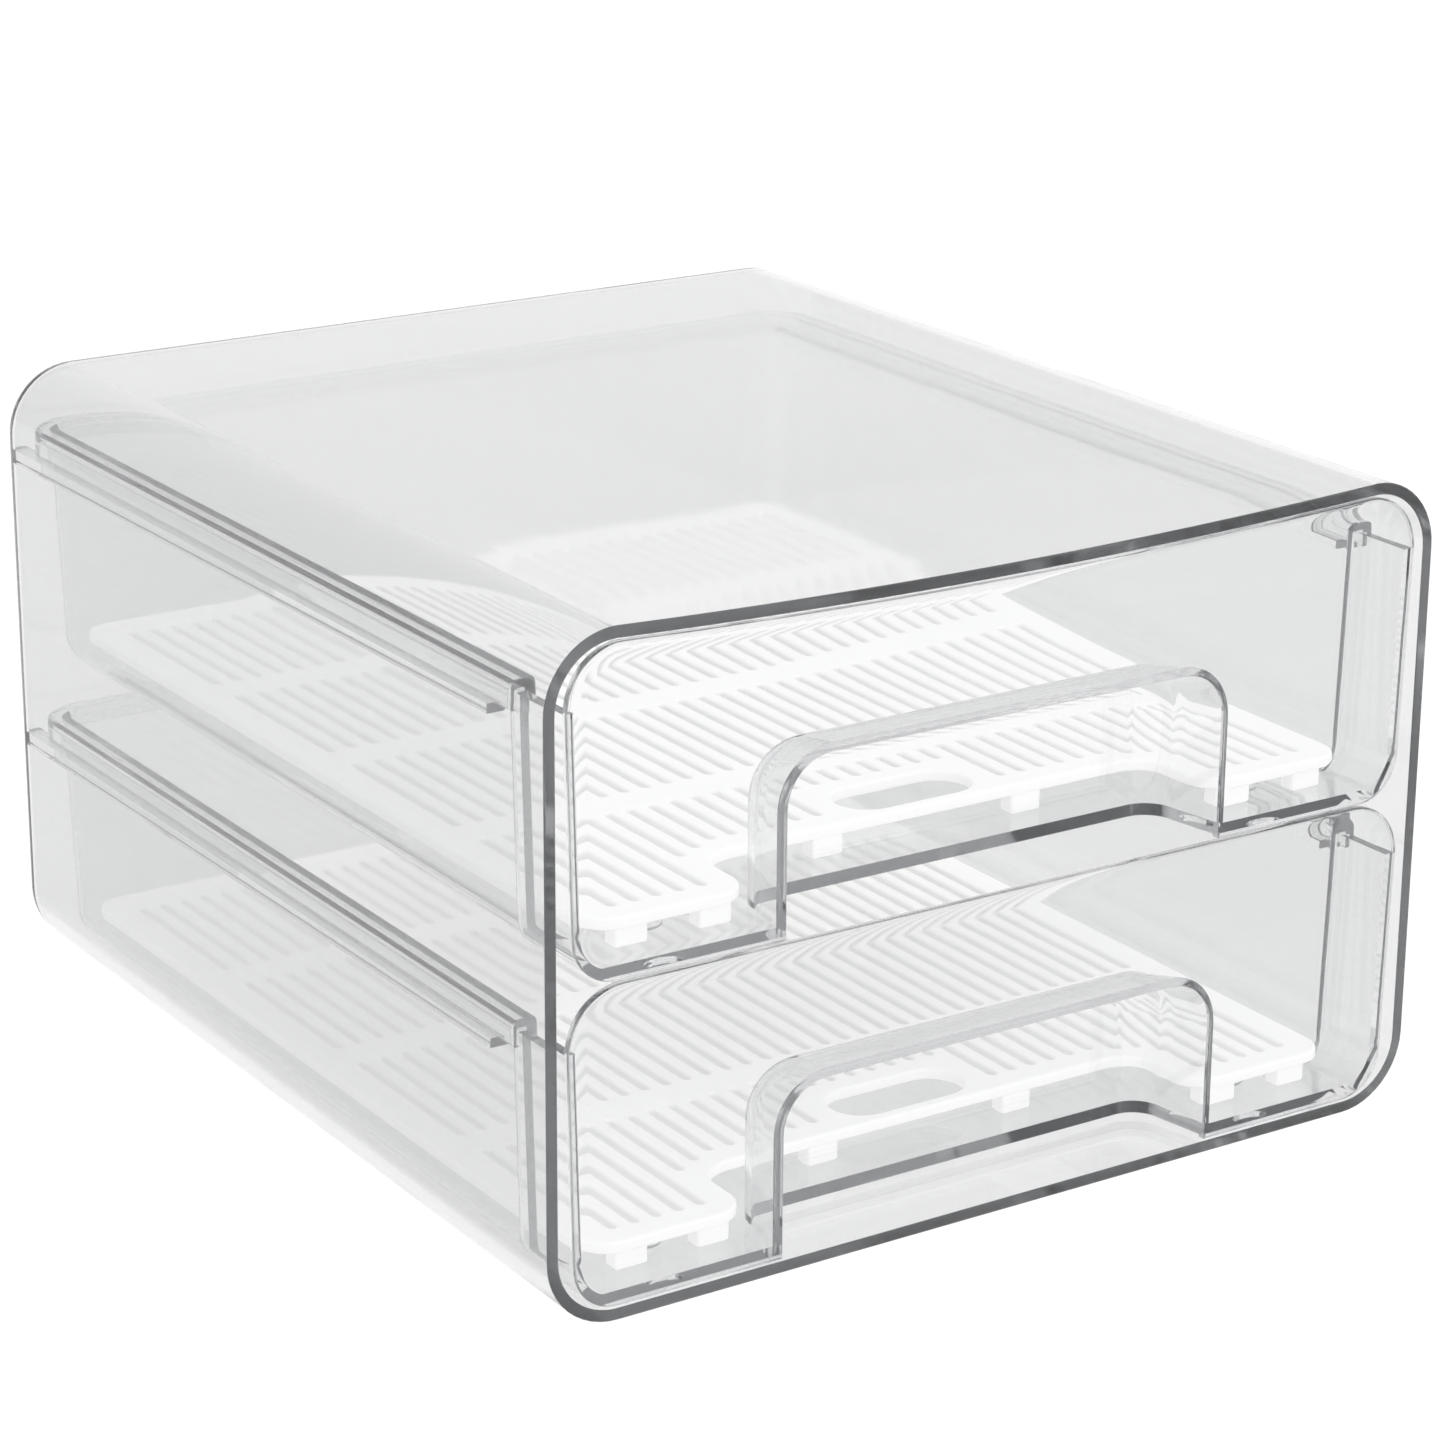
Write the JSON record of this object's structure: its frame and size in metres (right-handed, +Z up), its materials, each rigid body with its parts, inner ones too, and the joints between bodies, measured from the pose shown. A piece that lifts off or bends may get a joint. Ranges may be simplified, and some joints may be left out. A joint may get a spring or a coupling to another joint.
{
  "type": "refrigerator drawer bin",
  "caption": "Clear open-front casing with drawers that hang on side rails by their rims; each has an arched finger pocket and a white slotted drain tray.",
  "frame": {"origin": "bottom centre of the casing, on the surface that it stands on", "axes": "+X across, to the right of someone who faces the drawers; +Y from the drawers to the rear wall; +Z up"},
  "size_m": [0.26, 0.29, 0.17],
  "materials": {
    "casing_clear": "clear polished moulding",
    "drawer_clear": "clear polished moulding",
    "tray_white": "opaque white satin moulding"
  },
  "bodies": {
    "casing": {"casing": "casing_clear"},
    "upper_drawer": {"upper_drawer": "drawer_clear"},
    "lower_drawer": {"lower_drawer": "drawer_clear"},
    "upper_tray": {"upper_tray": "tray_white"},
    "lower_tray": {"lower_tray": "tray_white"}
  },
  "joints": [
    {"name": "upper_drawer_slide", "type": "slide", "parent": "casing", "child": "upper_drawer", "axis": [0, -1, 0], "range_m": [0, 0.24]},
    {"name": "lower_drawer_slide", "type": "slide", "parent": "casing", "child": "lower_drawer", "axis": [0, -1, 0], "range_m": [0, 0.24]},
    {"name": "upper_tray_lift", "type": "slide", "parent": "upper_drawer", "child": "upper_tray", "axis": [0, 0, 1], "range_m": [0, 0.066]},
    {"name": "lower_tray_lift", "type": "slide", "parent": "lower_drawer", "child": "lower_tray", "axis": [0, 0, 1], "range_m": [0, 0.066]}
  ]
}
